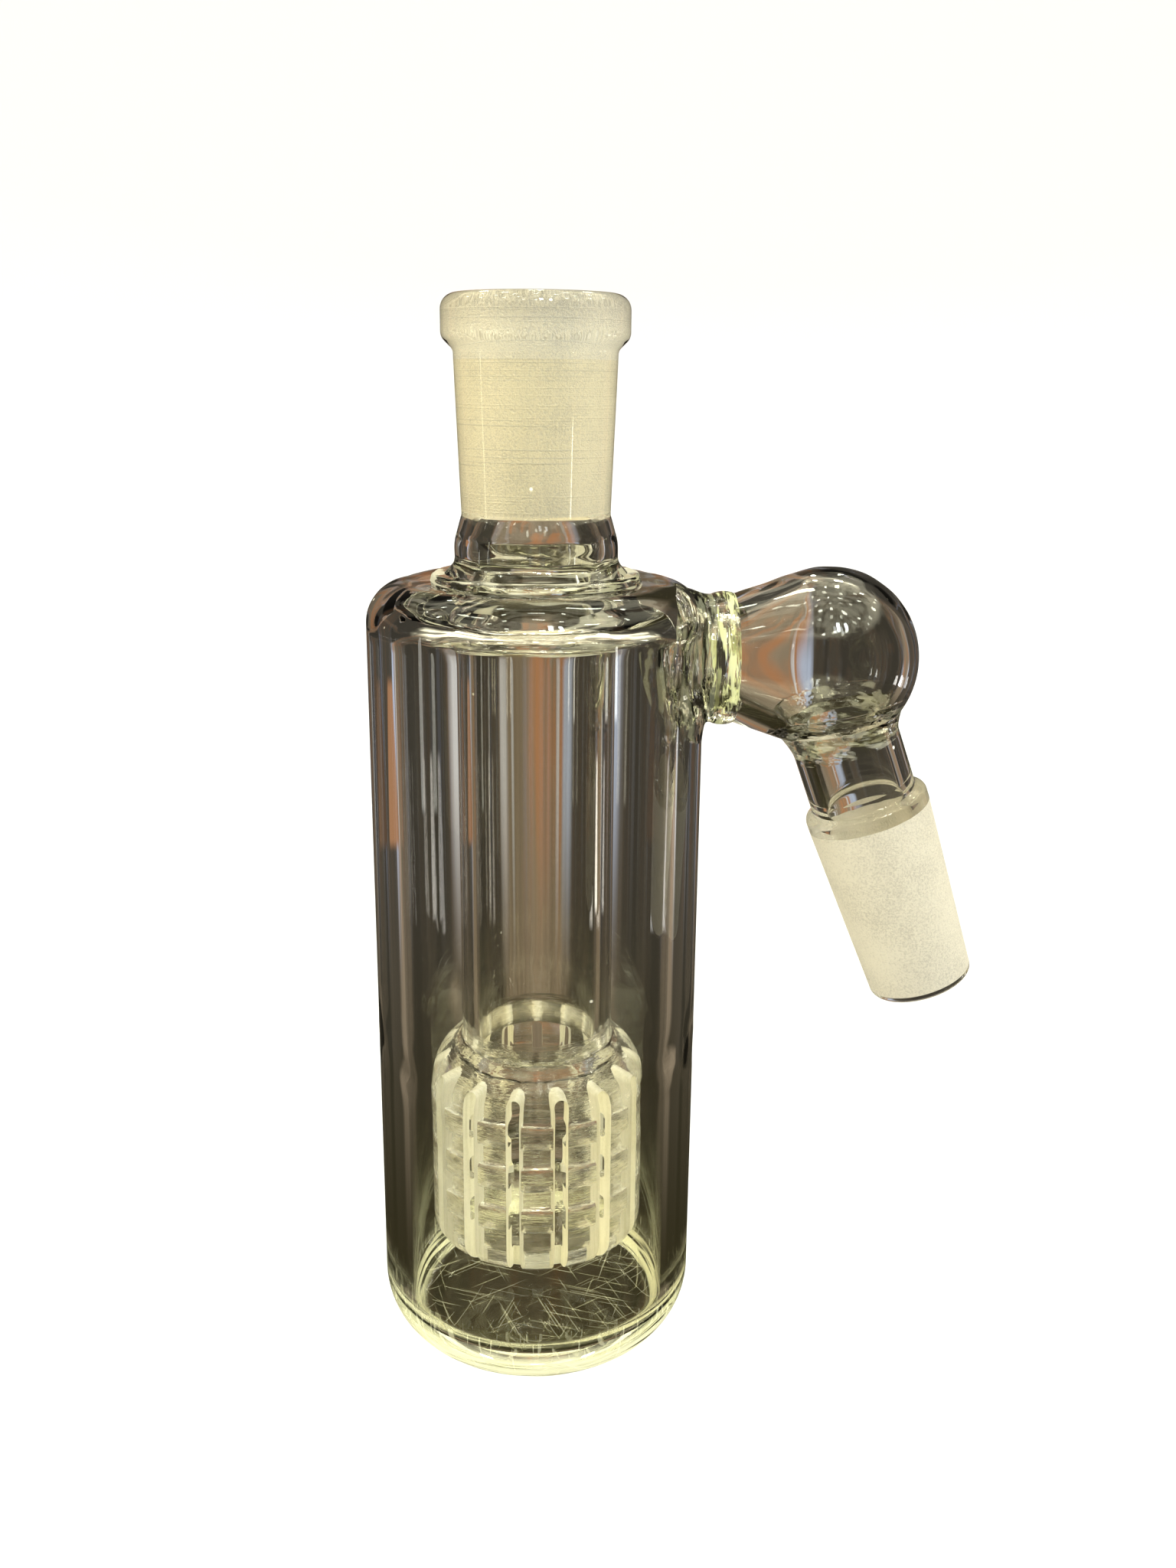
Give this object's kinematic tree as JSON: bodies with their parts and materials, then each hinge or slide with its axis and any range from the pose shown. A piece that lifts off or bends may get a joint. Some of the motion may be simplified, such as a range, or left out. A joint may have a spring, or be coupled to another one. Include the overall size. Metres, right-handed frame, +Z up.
{
  "type": "glass bubbler trap",
  "caption": "Lampworked glass bubbler trap: round can with a ground socket on top, a downtube with a slotted percolator, and a side arm with a bulb and a ground cone.",
  "frame": {"origin": "centre of the can's flat foot", "axes": "+Z up along the can's axis, +X along the side arm, -Y to the front"},
  "size_m": [0.0713, 0.038, 0.1243],
  "materials": {
    "clear_glass": "fire-polished, clear",
    "frosted_glass": "ground, matt",
    "sawn_glass": "clear between sawn matt slots",
    "weld_glass": "fire-polished, wavy"
  },
  "bodies": {
    "root": {"socket_rim": "frosted_glass", "ground_socket": "frosted_glass", "neck": "clear_glass", "neck_seal": "weld_glass", "can_shoulder": "clear_glass", "can_wall": "clear_glass", "can_base": "clear_glass", "downtube": "clear_glass", "perc_dome": "sawn_glass", "perc_cage": "sawn_glass", "perc_floor": "sawn_glass", "arm_weld": "weld_glass", "arm_collar": "weld_glass", "bulb": "clear_glass", "link_weld": "weld_glass", "link_tube": "clear_glass", "joint_shoulder": "clear_glass", "ground_cone": "frosted_glass", "joint_tip": "frosted_glass"}
  },
  "joints": []
}
